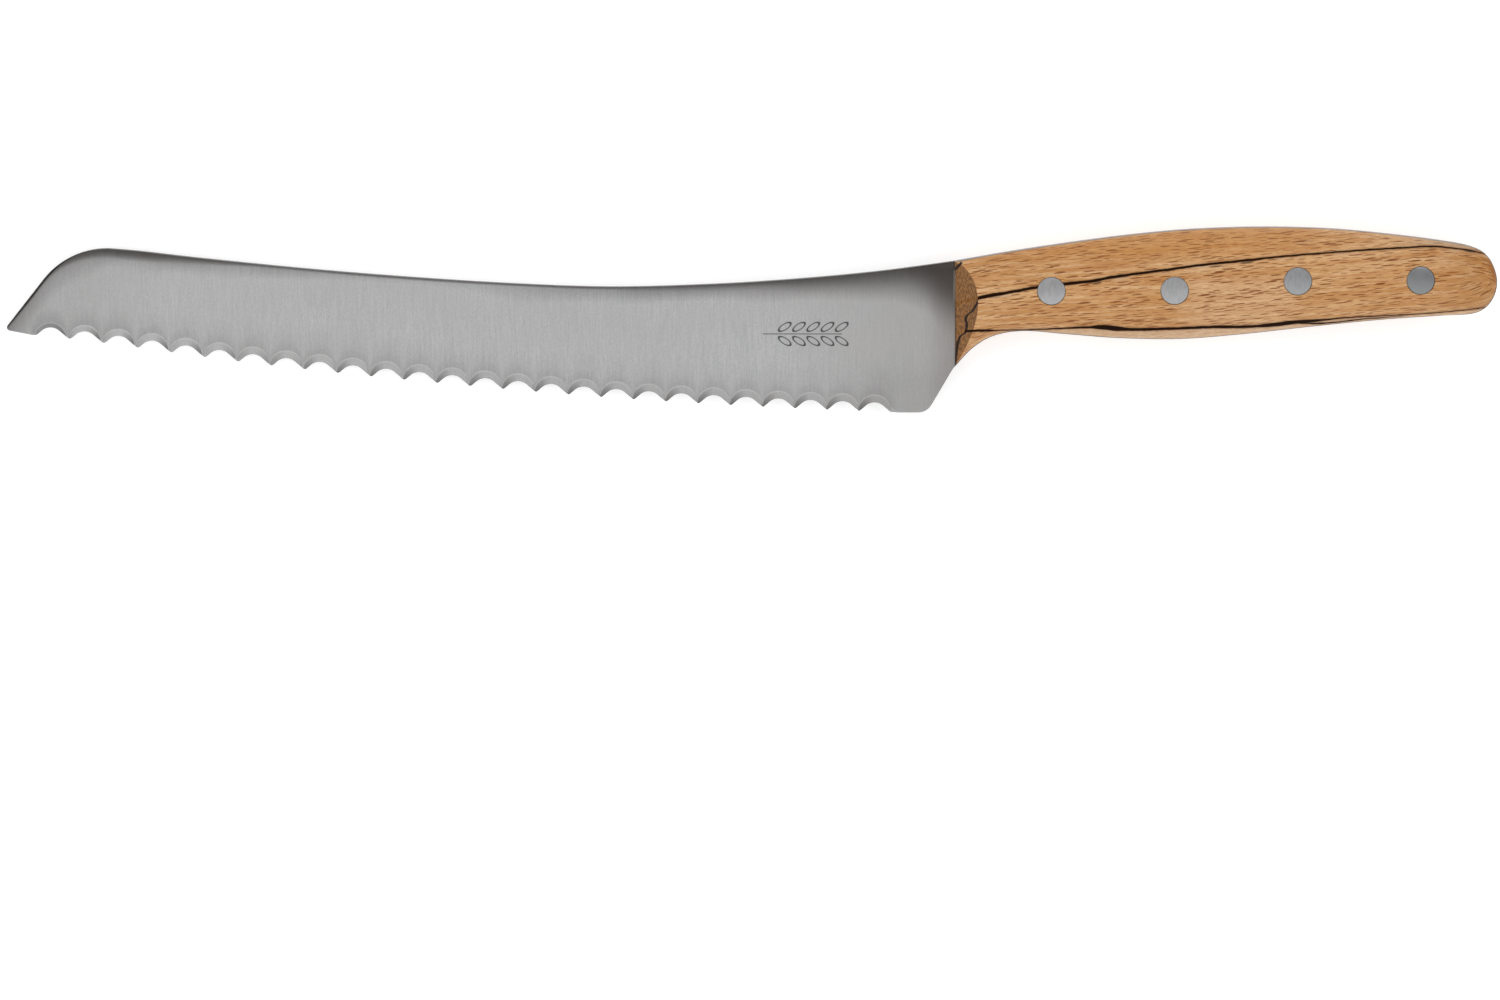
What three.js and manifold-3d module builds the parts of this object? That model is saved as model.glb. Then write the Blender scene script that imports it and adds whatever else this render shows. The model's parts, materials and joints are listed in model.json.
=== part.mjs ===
// Bread knife: a ground steel blade with a full tang, two wooden scales and four cutler's rivets.
//
// Knife axes, in mm. X runs from the tip (-) to the butt (+), with 0 where the wood starts. Y runs from the
// cutting edge (-) to the spine (+). Z runs across the steel, with 0 in its middle and + on the ground face.
// The finished knife is then laid down as it rests on a table, with its ground face up.

import * as THREE from "three";
import { mergeVertices } from "three/addons/utils/BufferGeometryUtils.js";
import Module from "manifold-3d";

const wasm = await Module();
wasm.setup();

// ---- driving dimensions ----

const STEEL = 2.5; // thickness of the tang, and of the spine where it meets the wood
const EDGE_THINNING = 1.03; // how much thinner each face is at the edge than at the spine
const TIP_THINNING = 0.3; // how much thinner each face is at the tip than at the heel
const BLADE_LENGTH = 219.7;
const SPINE_TOP = 9; // a height just above the spine's highest point
const EDGE_BOTTOM = -29.7; // the unground flat at the heel

// The nose: a straight clipped line up from the tip, then an arc that runs into the spine.
const NOSE = { x: -196.2, y: -10.4, radius: 19, line: THREE.MathUtils.degToRad(51.4) };
const TIP_CORNER = [-220.3, -10.3];
const TIP_ROUND = 1.4; // where the rounding of the tip starts, measured from the corner

const SPINE = [
  [-188.8, 8.0], [-174.9, 6.4], [-150, 3.9], [-126, 1.95], [-102, 0.45],
  [-80, -0.3], [-58, 0.25], [-38, 1.45], [-18, 3.3], [0, 5.7],
];

// The belly runs through the points of the scallops, from the tip to the heel.
const BELLY = [
  [-213.6, -11.6], [-197.6, -13.5], [-166.6, -17.85], [-128.1, -22.1], [-82.6, -26.15], [-45.1, -28.45],
  [-14.9, -29.7],
];

// The handle's edge, flush with the tang all round. Both long sides start at the wood's front.
const HANDLE_TOP = [
  [0, 5.7], [12, 7.8], [26, 9.93], [40, 11.75], [54, 13.05], [70, 13.6], [86, 13.25], [100, 12], [112, 10.5],
];
const BUTT = [
  [112, 10.5], [119.4, 9.05], [123.4, 6.6], [125.4, 1.6], [124.4, -3.2], [120.6, -6.3], [112, -7],
];
const HANDLE_BOTTOM = [
  [0, -18.9], [4, -14.6], [9, -11.65], [16, -10.55], [26, -11.3], [38, -12.2], [52, -12.4], [66, -11.35],
  [82, -9.6], [98, -8], [112, -7],
];
const HEEL_LINE = [[-1.6, -21.4], [-5.4, -27.9]]; // straight stretch between the choil and the heel
const HEEL_CORNER = [-6.5, EDGE_BOTTOM];
const HEEL_FLAT = -8.6; // where the rounding of the heel runs into the flat

const SCALLOPS = 26;
const PITCH_AT_TIP = 7.93;
const PITCH_AT_HEEL = 7.42;
const SCALLOP = { depth: 2.15, radius: 3.1, flank: THREE.MathUtils.degToRad(41) };
const BEVEL_RUN = 1.9; // height of the ground band on the ground face, above the edge

const HALF_THICKNESS = [[0, 6.6], [25, 7.6], [60, 9.2], [112, 8.3]];
const GLUE_LINE = 0.05; // between tang and scale
const FRONT_SLANT = 0.92; // the wood's front slants back this much for each mm out from the tang

const RIVET_FIRST = 22.05;
const RIVET_PITCH = 28.38;
const RIVET_HEIGHTS = [-0.65, -0.4, 1.8, 1.9];
const BEYOND = 12; // further out than any part of the handle, for pieces that are cut back to its form
const RIVET = { head: 3.25, tube: 2.5, bore: 1.8, shank: 1.75, seat: 5.2, wall: 0.7 };
const FIT = 0.05; // gap round each head and under it
const HOLE = 2.6; // radius of the holes in the tang and the scales

// At rest the knife lies on the swell of its handle and on its tip: pitched about Y with the tip down, and
// rolled about X with the edge side down.
const REST_ROLL = THREE.MathUtils.degToRad(6.47);
const REST_PITCH = THREE.MathUtils.degToRad(-1.54);

// ---- helpers ----

const vectors = (points) => points.map(([x, y]) => new THREE.Vector2(x, y));

// A smooth height over x through a few points.
function smoothLine(points) {
  const curve = new THREE.CubicInterpolant(points.map((p) => p[0]), points.map((p) => p[1]), 1);
  return (x) => curve.evaluate(x)[0];
}

function solid(geometry) {
  const bare = geometry.index ? geometry.toNonIndexed() : geometry.clone();
  bare.deleteAttribute("normal");
  bare.deleteAttribute("uv");
  const merged = mergeVertices(bare, 1e-4);
  return new wasm.Manifold(
    new wasm.Mesh({
      numProp: 3,
      vertProperties: merged.attributes.position.array,
      triVerts: new Uint32Array(merged.index.array),
    }),
  );
}

function geometryOf(manifold) {
  const mesh = manifold.getMesh();
  const geometry = new THREE.BufferGeometry();
  geometry.setAttribute("position", new THREE.BufferAttribute(new Float32Array(mesh.vertProperties), 3));
  geometry.setIndex(new THREE.BufferAttribute(new Uint32Array(mesh.triVerts), 1));
  geometry.computeVertexNormals();
  return geometry;
}

// A cylinder along Z between two heights.
function bar(radius, from, to, x, y) {
  const geometry = new THREE.CylinderGeometry(radius, radius, to - from, 24);
  geometry.rotateX(Math.PI / 2).translate(x, y, (from + to) / 2);
  return solid(geometry);
}

const rivetCentres = RIVET_HEIGHTS.map((y, i) => [RIVET_FIRST + i * RIVET_PITCH, y]);

// ---- steel ----

function steelOutline() {
  const shape = new THREE.Shape();
  const along = new THREE.Vector2(Math.cos(NOSE.line), Math.sin(NOSE.line));
  const first = vectors(BELLY)[0];
  const corner = new THREE.Vector2(...TIP_CORNER);
  const upper = along.clone().multiplyScalar(TIP_ROUND).add(corner);
  const lower = first.clone().sub(corner).setLength(TIP_ROUND).add(corner);
  shape.moveTo(first.x, first.y);
  shape.lineTo(lower.x, lower.y);
  shape.quadraticCurveTo(corner.x, corner.y, upper.x, upper.y);
  shape.absarc(NOSE.x, NOSE.y, NOSE.radius, Math.PI / 2 + NOSE.line, Math.PI / 2, true);
  shape.splineThru(vectors(SPINE));
  const underside = HANDLE_BOTTOM.slice(0, -1).reverse();
  shape.splineThru(vectors([...HANDLE_TOP.slice(1), ...BUTT.slice(1), ...underside, HEEL_LINE[0]]));
  shape.lineTo(...HEEL_LINE[1]);
  shape.quadraticCurveTo(...HEEL_CORNER, HEEL_FLAT, EDGE_BOTTOM);
  shape.lineTo(...BELLY.at(-1));
  shape.splineThru(vectors(BELLY).reverse().slice(1));
  return shape;
}

// What grinding takes off one face of the blade: everything outside a plane that leans in towards the
// edge and the tip.
function faceGrind(side) {
  const lean = Math.atan(EDGE_THINNING / (SPINE_TOP - EDGE_BOTTOM));
  const taper = Math.atan(TIP_THINNING / BLADE_LENGTH);
  const length = BLADE_LENGTH + 20;
  const block = new THREE.BoxGeometry(length, 120, 4);
  block.translate(-length / 2, 0, 2 * side).rotateX(lean * side).rotateY(-taper * side);
  block.translate(0, SPINE_TOP, (STEEL / 2) * side);
  return solid(block);
}

// The outline of the wheel that grinds a scallop: straight flanks that run into an arc at the top.
function wheelOutline() {
  const { depth, radius, flank } = SCALLOP;
  const centre = depth - radius;
  const overrun = BEVEL_RUN + 1; // below the points, so that the leaning wheel clears the edge all through
  const touch = { x: radius * Math.sin(flank), y: centre + radius * Math.cos(flank) };
  const foot = touch.x + (touch.y + overrun) / Math.tan(flank);
  const shape = new THREE.Shape();
  shape.moveTo(-foot, -overrun);
  shape.lineTo(-touch.x, touch.y);
  shape.absarc(0, centre, radius, Math.PI / 2 + flank, Math.PI / 2 - flank, true);
  shape.lineTo(foot, -overrun);
  return shape;
}

// The wheel leans, so it takes more off the ground face than off the back.
function scallopCutter(x, y) {
  const depth = 2 * STEEL;
  const backFace = -STEEL / 2 + EDGE_THINNING;
  const lean = BEVEL_RUN / (STEEL - 2 * EDGE_THINNING);
  const wheel = new THREE.ExtrudeGeometry(wheelOutline(), { depth, bevelEnabled: false, curveSegments: 5 });
  wheel.translate(0, 0, -STEEL - backFace);
  wheel.applyMatrix4(new THREE.Matrix4().set(1, 0, 0, x, 0, 1, lean, y, 0, 0, 1, backFace, 0, 0, 0, 1));
  return solid(wheel);
}

// The points between the scallops, at a pitch that shortens evenly from tip to heel.
function scallopPoints() {
  const belly = new THREE.SplineCurve(vectors(BELLY));
  const pitches = Array.from({ length: SCALLOPS }, (_, i) =>
    THREE.MathUtils.lerp(PITCH_AT_TIP, PITCH_AT_HEEL, i / (SCALLOPS - 1)),
  );
  const total = pitches.reduce((sum, pitch) => sum + pitch);
  let run = 0;
  return [0, ...pitches].map((pitch) => belly.getPointAt(Math.min((run += pitch) / total, 1)));
}

function steel() {
  const settings = { depth: STEEL, bevelEnabled: false, curveSegments: 3 };
  const blank = new THREE.ExtrudeGeometry(steelOutline(), settings);
  let body = solid(blank.translate(0, 0, -STEEL / 2));
  for (const side of [-1, 1]) body = body.subtract(faceGrind(side));
  const points = scallopPoints();
  for (let i = 0; i < SCALLOPS; i++) {
    const middle = points[i].clone().lerp(points[i + 1], 0.5);
    body = body.subtract(scallopCutter(middle.x, middle.y));
  }
  for (const [x, y] of rivetCentres) body = body.subtract(bar(HOLE, -STEEL, STEEL, x, y));
  return body;
}

// ---- wood ----

// The whole handle's outer form: elliptical sections along the handle, closed round the butt.
function handleForm() {
  const steps = 5; // per quarter of a section
  const stations = 22;
  const topAt = smoothLine(HANDLE_TOP);
  const bottomAt = smoothLine(HANDLE_BOTTOM);
  const halfAt = smoothLine(HALF_THICKNESS);
  const end = BUTT[0][0];
  const positions = [];
  const triangle = (...corners) => positions.push(...corners.flat());
  const quad = (a, b, c, d) => {
    triangle(a, b, c);
    triangle(a, c, d);
  };

  // A point of the section at x, a whole number of steps round from the middle of the ground side.
  const sectionPoint = (x, step) => {
    const angle = (step / steps) * (Math.PI / 2);
    const middle = (topAt(x) + bottomAt(x)) / 2;
    const height = (topAt(x) - bottomAt(x)) / 2;
    return [x, middle + height * Math.sin(angle), halfAt(x) * Math.cos(angle)];
  };
  const xs = Array.from({ length: stations + 1 }, (_, i) => end * (i / stations) ** 1.3);
  for (let step = 0; step < 4 * steps; step++) {
    for (let i = 0; i < stations; i++) {
      const [x, next] = [xs[i], xs[i + 1]];
      const [a, b] = [sectionPoint(x, step), sectionPoint(next, step)];
      quad(a, b, sectionPoint(next, step + 1), sectionPoint(x, step + 1));
    }
    triangle([0, (topAt(0) + bottomAt(0)) / 2, 0], sectionPoint(0, step), sectionPoint(0, step + 1));
  }

  const pole = [end, (BUTT[0][1] + BUTT.at(-1)[1]) / 2];
  const rim = new THREE.SplineCurve(vectors(BUTT)).getSpacedPoints(14);
  for (const side of [1, -1]) {
    const buttPoint = (ray, step) => {
      const angle = (step / steps) * (Math.PI / 2);
      const out = Math.sin(angle);
      const x = pole[0] + (rim[ray].x - pole[0]) * out;
      const y = pole[1] + (rim[ray].y - pole[1]) * out;
      return [x, y, side * halfAt(end) * Math.cos(angle)];
    };
    for (let ray = 0; ray < rim.length - 1; ray++) {
      const [a, b] = side > 0 ? [ray + 1, ray] : [ray, ray + 1];
      triangle(buttPoint(a, 0), buttPoint(a, 1), buttPoint(b, 1));
      for (let step = 1; step < steps; step++) {
        quad(buttPoint(a, step), buttPoint(a, step + 1), buttPoint(b, step + 1), buttPoint(b, step));
      }
    }
  }
  const geometry = new THREE.BufferGeometry();
  geometry.setAttribute("position", new THREE.Float32BufferAttribute(positions, 3));
  return geometry;
}

// Everything ahead of the wood's slanted front on the ground side.
function frontCut() {
  const inner = STEEL / 2;
  const shape = new THREE.Shape();
  shape.moveTo(-2, inner - 0.5);
  shape.lineTo(-0.5 * FRONT_SLANT, inner - 0.5);
  shape.lineTo((BEYOND - inner) * FRONT_SLANT, BEYOND);
  shape.lineTo(-2, BEYOND);
  const depth = 60;
  const block = new THREE.ExtrudeGeometry(shape, { depth, bevelEnabled: false });
  return block.rotateX(Math.PI / 2).translate(0, depth / 2, 0);
}

function scale(form, side) {
  const inner = STEEL / 2 + GLUE_LINE;
  const slab = new THREE.BoxGeometry(300, 80, BEYOND - inner).translate(0, 0, (side * (inner + BEYOND)) / 2);
  const front = frontCut();
  if (side < 0) front.rotateX(Math.PI);
  let body = form.intersect(solid(slab)).subtract(solid(front));
  for (const [x, y] of rivetCentres) {
    const ends = [side * RIVET.seat, side * BEYOND].sort((a, b) => a - b);
    body = body.subtract(bar(HOLE, -BEYOND, BEYOND, x, y));
    body = body.subtract(bar(RIVET.head + FIT, ...ends, x, y));
  }
  return body;
}

// ---- rivets ----

// Each rivet is a headed tube pressed over a headed shank. Profiles run along +Z from the middle of the
// knife, and the heads are ground flush with the handle.
function turned(profile, side, x, y) {
  const geometry = new THREE.LatheGeometry(vectors(profile), 24).rotateX(Math.PI / 2);
  if (side < 0) geometry.rotateX(Math.PI);
  return solid(geometry.translate(x, y, 0));
}

function rivetTube(form, x, y) {
  const { head, tube, bore, seat, wall } = RIVET;
  const under = seat + FIT;
  const profile = [
    [0, under - wall], [bore, under - wall], [bore, -seat], [tube, -seat],
    [tube, under], [head, under], [head, BEYOND], [0, BEYOND], [0, under - wall],
  ];
  return turned(profile, 1, x, y).intersect(form);
}

function rivetShank(form, x, y) {
  const { head, shank, seat, wall } = RIVET;
  const under = seat + FIT;
  const profile = [
    [0, wall + FIT - seat], [shank, wall + FIT - seat], [shank, under], [head, under], [head, BEYOND],
    [0, BEYOND], [0, wall + FIT - seat],
  ];
  return turned(profile, -1, x, y).intersect(form);
}

// ---- the knife ----

const finishes = {
  steel: { color: 0xaeadab, roughness: 0.38, metalness: 1 },
  wood: { color: 0xba8a60, roughness: 0.55, metalness: 0 },
  rivet: { color: 0xa3a4a8, roughness: 0.3, metalness: 1 },
};

const knife = new THREE.Group();

function add(name, manifold, finish) {
  const mesh = new THREE.Mesh(geometryOf(manifold), new THREE.MeshStandardMaterial(finishes[finish]));
  mesh.name = name;
  knife.add(mesh);
}

const form = solid(handleForm());
add("blade_with_tang", steel(), "steel");
add("scale_ground_side", scale(form, 1), "wood");
add("scale_back_side", scale(form, -1), "wood");
rivetCentres.forEach(([x, y], i) => {
  add(`rivet_${i + 1}_tube_half`, rivetTube(form, x, y), "rivet");
  add(`rivet_${i + 1}_shank_half`, rivetShank(form, x, y), "rivet");
});

knife.rotation.set(REST_ROLL, REST_PITCH, 0, "YXZ");

const part = new THREE.Group();
part.add(knife);
const box = new THREE.Box3().setFromObject(part, true);
const middle = box.getCenter(new THREE.Vector3());
knife.position.set(-middle.x, -middle.y, -box.min.z);

export default part;
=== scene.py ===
"""Bread knife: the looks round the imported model.

Shapes are made in the knife's own axes, in mm: X from the tip (-) to the butt (+) with 0 where the wood
starts, Y from the cutting edge (-) to the spine (+), Z across the steel with 0 in its middle and + on the
ground face. KNIFE takes them to the frame, where the knife lies at rest.
"""

import json
import math

import bmesh
import bpy
import numpy as np
from mathutils import Matrix, Vector


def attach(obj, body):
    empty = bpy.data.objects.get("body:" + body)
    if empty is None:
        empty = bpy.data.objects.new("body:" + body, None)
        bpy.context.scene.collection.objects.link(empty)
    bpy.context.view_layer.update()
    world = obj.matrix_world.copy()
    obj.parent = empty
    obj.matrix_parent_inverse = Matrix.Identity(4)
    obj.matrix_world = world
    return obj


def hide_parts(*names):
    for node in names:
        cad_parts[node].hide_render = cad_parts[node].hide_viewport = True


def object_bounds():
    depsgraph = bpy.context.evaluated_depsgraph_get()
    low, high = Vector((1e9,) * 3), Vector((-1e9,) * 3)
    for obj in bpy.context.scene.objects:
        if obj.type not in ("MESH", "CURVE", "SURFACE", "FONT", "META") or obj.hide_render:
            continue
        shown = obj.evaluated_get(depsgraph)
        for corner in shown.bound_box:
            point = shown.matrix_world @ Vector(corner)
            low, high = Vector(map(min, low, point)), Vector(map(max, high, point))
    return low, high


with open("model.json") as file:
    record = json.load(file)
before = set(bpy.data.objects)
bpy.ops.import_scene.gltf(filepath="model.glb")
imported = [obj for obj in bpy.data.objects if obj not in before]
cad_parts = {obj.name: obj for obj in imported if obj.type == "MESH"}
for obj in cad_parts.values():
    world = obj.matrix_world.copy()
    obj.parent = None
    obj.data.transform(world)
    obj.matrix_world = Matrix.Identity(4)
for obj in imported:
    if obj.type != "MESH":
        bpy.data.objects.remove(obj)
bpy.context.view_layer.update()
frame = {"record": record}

# ---- sizes of the knife, mm ----

STEEL = 2.5  # thickness at the spine where the wood starts
EDGE_THINNING = 1.03  # how much a face comes down to the lowest point of the edge
TIP_THINNING = 0.3  # and how much to the tip
BLADE_LENGTH = 219.7
SPINE_TOP = 9.0
EDGE_BOTTOM = -29.7
CUTTING_EDGE = 0.05  # thickness left at the very edge

# The nose is a straight line at this angle, and then an arc round this point.
NOSE = {"x": -196.2, "y": -10.4, "radius": 19.0, "line": math.radians(51.4)}
TIP_CORNER = (-220.3, -10.3)
TIP_RADIUS = 0.75
SPINE = [
    (-188.8, 8.0), (-174.9, 6.4), (-150, 3.9), (-126, 1.95), (-102, 0.45),
    (-80, -0.3), (-58, 0.25), (-38, 1.45), (-18, 3.3), (0, 5.7),
]
BELLY = [
    (-213.6, -11.6), (-197.6, -13.5), (-166.6, -17.85), (-128.1, -22.1), (-82.6, -26.15), (-45.1, -28.45),
    (-14.9, -29.7),
]
HANDLE_TOP = [
    (0, 5.7), (12, 7.8), (26, 9.93), (40, 11.75), (54, 13.05), (70, 13.6), (86, 13.25), (100, 12),
    (112, 10.5),
]
BUTT = [(112, 10.5), (119.4, 9.05), (123.4, 6.6), (125.4, 1.6), (124.4, -3.2), (120.6, -6.3), (112, -7)]
HANDLE_BOTTOM = [
    (0, -18.9), (4, -14.6), (9, -11.65), (16, -10.55), (26, -11.3), (38, -12.2), (52, -12.4), (66, -11.35),
    (82, -9.6), (98, -8), (112, -7),
]
HEEL_LINE = [(-1.6, -21.4), (-5.4, -27.9)]
HEEL_CORNER = (-6.5, EDGE_BOTTOM)  # rounded off
HEEL_FLAT = -8.6  # where the rounding starts

SCALLOPS = 26
PITCH_AT_TIP = 7.93
PITCH_AT_HEEL = 7.42
SCALLOP_DEPTH = 2.15
SCALLOP_RADIUS = 3.1
SCALLOP_FLANK = math.radians(41)
WHEEL_RUN_OUT = 2.0  # how far the wheels' flanks are followed past the outer points
POINT_SOFTNESS = 0.2  # how round the wheels leave the points between the scallops
ARCH_RADIUS = 3.8  # of the bevels' outline on the ground face
ARCH_RISE = [1.15, 1.5, 1.65, 1.75] + [1.8] * 22  # from the top of each scallop to the top of its bevel
POINT_RUN = 0.35  # the bevel's run at the points between the scallops
# the bright line along the top of each bevel is a painted highlight
BEVEL_LINE = 0.16  # half the width of the bright line along the top of a bevel
# painted shade: every bevel is darkened, and one flank more
BEVEL_SHADE = 0.31  # how dark a bevel is where no flank darkens it
SPINE_ROUND = 0.2

HALF_THICKNESS = [(0, 6.6), (25, 7.6), (60, 9.2), (112, 8.3)]  # of the handle, over x
OUTSIDE = 12  # a height outside the handle everywhere
GLUE_LINE = 0.05
FRONT_SLANT = 0.92  # how far the front goes back for each mm away from the steel
FRONT_ROUND = 0.12
RIVET_CENTRES = [(22.05, -0.65), (50.43, -0.4), (78.81, 1.8), (107.19, 1.9)]
HEAD, TUBE, BORE, SHANK = 3.25, 2.5, 1.8, 1.75  # radii
CHAMFER_RUN, CHAMFER_DROP = 0.18, 0.14  # round a head
SEAT = 5.2  # height of the heads' seats above the middle
HEAD_WALL = 0.7  # between a tube's bore and the top of its seat
FIT = 0.05
HOLE = 2.6  # radius of the holes in the wood

# ---- the knife's place in the frame ----

REST_ROLL = math.radians(6.47)
REST_PITCH = math.radians(-1.54)
MOUNT_AT = (-90.0, -8.0)  # where the record's ground_face mount lies on the blade
MM = 0.001


def ground_plane(x, y):
    """Height of the blade's flat faces above its middle."""
    edge = EDGE_THINNING * (SPINE_TOP - y) / (SPINE_TOP - EDGE_BOTTOM)
    return STEEL / 2 - edge - TIP_THINNING * -x / BLADE_LENGTH


def knife_matrix():
    mount = next(m for m in frame["record"]["mounts"] if m["name"] == "ground_face")
    turn = Matrix.Rotation(REST_PITCH, 4, "Y") @ Matrix.Rotation(REST_ROLL, 4, "X") @ Matrix.Scale(MM, 4)
    on_blade = Vector((*MOUNT_AT, ground_plane(*MOUNT_AT)))
    return Matrix.Translation(Vector(mount["pos_m"]) - turn @ on_blade) @ turn


KNIFE = knife_matrix()
knife_axes = bpy.data.objects.new("knife_axes", None)
bpy.context.scene.collection.objects.link(knife_axes)
knife_axes.matrix_world = KNIFE


# ---- curves ----


def smooth(points):
    """A smooth height over x through a few points."""
    x, y = np.array(points, float).T
    slope = np.gradient(y, x)
    slope[1:-1] = (y[2:] - y[:-2]) / (x[2:] - x[:-2])

    def at(value):
        value = np.clip(value, x[0], x[-1])
        i = np.clip(np.searchsorted(x, value, side="right") - 1, 0, len(x) - 2)
        span = x[i + 1] - x[i]
        t = (value - x[i]) / span
        rise = (2 * t**3 - 3 * t**2 + 1) * y[i] + (3 * t**2 - 2 * t**3) * y[i + 1]
        return rise + span * ((t**3 - 2 * t**2 + t) * slope[i] + (t**3 - t**2) * slope[i + 1])

    return at


def spline(points, steps=12):
    """A Catmull-Rom curve through the points, as a dense line."""
    p = np.array(points, float)
    before = np.vstack([p[:1], p[:-1]])[:-1]
    after = np.vstack([p[1:], p[-1:]])[1:]
    a, b = p[:-1], p[1:]
    t = np.linspace(0, 1, steps, endpoint=False)[None, :, None]
    start, end = ((b - before) / 2)[:, None], ((after - a) / 2)[:, None]
    a, b = a[:, None], b[:, None]
    cubic, square = 2 * a - 2 * b + start + end, 3 * b - 3 * a - 2 * start - end
    line = cubic * t**3 + square * t**2 + start * t + a
    return np.vstack([line.reshape(-1, 2), p[-1:]])


def arc(x, y, radius, start, end, steps=16):
    angles = np.linspace(start, end, steps)
    return np.stack([x + radius * np.cos(angles), y + radius * np.sin(angles)], 1)


def rails():
    """The knife's outline as two lines from the tip to the butt: the top and the bottom."""
    first = np.array(BELLY[0])
    corner = np.array(TIP_CORNER)
    slope = math.atan2(*(first - corner)[::-1])
    half = (NOSE["line"] - slope) / 2
    middle = corner + TIP_RADIUS / math.sin(half) * np.array([math.cos(slope + half), math.sin(slope + half)])
    tip_top = arc(*middle, TIP_RADIUS, math.pi, math.pi / 2 + NOSE["line"])
    tip_bottom = arc(*middle, TIP_RADIUS, math.pi, 1.5 * math.pi + slope)
    nose = arc(NOSE["x"], NOSE["y"], NOSE["radius"], math.pi / 2 + NOSE["line"], math.pi / 2)
    handle = spline(HANDLE_TOP + BUTT[1:] + HANDLE_BOTTOM[-2::-1] + HEEL_LINE[:1])
    end = int(handle[:, 0].argmax())
    top = np.vstack([tip_top, nose, spline([nose[-1], *SPINE])[1:], handle[1:end + 1]])
    ease = np.linspace(0, 1, 12)[:, None]
    flat, heel, line = np.array((HEEL_FLAT, EDGE_BOTTOM)), np.array(HEEL_CORNER), np.array(HEEL_LINE[1])
    round_heel = (1 - ease) ** 2 * flat + 2 * ease * (1 - ease) * heel + ease**2 * line
    bottom = np.vstack([tip_bottom, spline(BELLY), round_heel, handle[end:][::-1]])
    return top, bottom


TOP, BOTTOM = rails()
LEFT, RIGHT = TOP[0, 0], TOP[-1, 0]


def top_at(x):
    return np.interp(x, *TOP.T)


def bottom_at(x):
    return np.interp(x, *BOTTOM.T)


half_thickness = smooth(HALF_THICKNESS)


def crown(x, y):
    """Height of the handle's outer surface over a point between its top and bottom lines."""
    middle, height = (top_at(x) + bottom_at(x)) / 2, (top_at(x) - bottom_at(x)) / 2
    return half_thickness(x) * np.sqrt(np.clip(1 - ((y - middle) / height) ** 2, 0, 1))


# ---- meshes ----


SHARP = math.radians(32)  # corners over this angle stay sharp
BLADE_SHARP = math.radians(25)
FLAT_SPAN = 400  # mm across the flat map, which gives the brushed finish its direction
FLAT_MIDDLE = (0.6, 0.5)
FLAT_LEAN = 0.7  # share of the height that the map takes, so that upright faces get some of it too


def mesh_from(bm, name, sharp=SHARP):
    """A new object from shapes in the knife's axes, with smooth faces and sharp corners."""
    bmesh.ops.recalc_face_normals(bm, faces=bm.faces)
    for face in bm.faces:
        face.smooth = True
    mesh = bpy.data.meshes.new(name)
    bm.to_mesh(mesh)
    bm.free()
    flat = mesh.uv_layers.new(name="flat")
    for loop, corner in zip(mesh.loops, flat.data):
        x, y, z = mesh.vertices[loop.vertex_index].co
        corner.uv = (x / FLAT_SPAN + FLAT_MIDDLE[0], (y + FLAT_LEAN * z) / FLAT_SPAN + FLAT_MIDDLE[1])
    mesh.transform(KNIFE)
    mesh.set_sharp_from_angle(angle=sharp)
    piece = bpy.data.objects.new(name, mesh)
    bpy.context.scene.collection.objects.link(piece)
    return piece


def hand_in(piece, node, material):
    """Gives a piece its material, hangs it under the root body and hides the imported part that it stands
    for.
    """
    piece.data.materials.append(material)
    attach(piece, "root")
    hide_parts(node)


def grid(bm, rows, closed=False):
    """Faces between neighbouring rows of points; closed rows are rings."""
    made = [[bm.verts.new(point) for point in row] for row in rows]
    for one, two in zip(made, made[1:]):
        count = len(one)
        for i in range(count if closed else count - 1):
            bm.faces.new((one[i], one[(i + 1) % count], two[(i + 1) % count], two[i]))
    return made


# ---- blade ----


def scallop_points():
    """X of the points between the scallops, at a pitch that shortens evenly from tip to heel."""
    belly = spline(BELLY, 60)
    run = np.concatenate([[0], np.cumsum(np.hypot(*np.diff(belly, axis=0).T))])
    pitches = np.linspace(PITCH_AT_TIP, PITCH_AT_HEEL, SCALLOPS)
    share = np.concatenate([[0], np.cumsum(pitches)]) / pitches.sum()
    return np.stack([np.interp(share * run[-1], run, belly[:, k]) for k in (0, 1)], 1)


POINTS = scallop_points()
MIDDLES = (POINTS[1:] + POINTS[:-1]) / 2


def from_middles(x):
    """How far each x lies from the middle of each scallop."""
    return np.abs(x[:, None] - MIDDLES[None, :, 0])


def wheel(x):
    """Height of the grinding wheels' outline over the back face: the highest of the scallops at x."""
    touch = SCALLOP_RADIUS * math.sin(SCALLOP_FLANK)
    centre = SCALLOP_DEPTH - SCALLOP_RADIUS
    off = from_middles(x)
    round_part = centre + np.sqrt(np.clip(SCALLOP_RADIUS**2 - off**2, 0, None))
    flank = centre + SCALLOP_RADIUS * math.cos(SCALLOP_FLANK) - (off - touch) * math.tan(SCALLOP_FLANK)
    return (MIDDLES[None, :, 1] + np.where(off < touch, round_part, flank)).max(1)


def arches(x):
    """Height of the bevels' outline on the ground face: a row of round arches."""
    off = from_middles(x)
    foot = SCALLOP_DEPTH + np.array(ARCH_RISE) - ARCH_RADIUS
    rise = foot + np.sqrt(np.clip(ARCH_RADIUS**2 - off**2, 0, None))
    return (MIDDLES[None, :, 1] + np.where(off < ARCH_RADIUS, rise, -99)).max(1)


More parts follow.
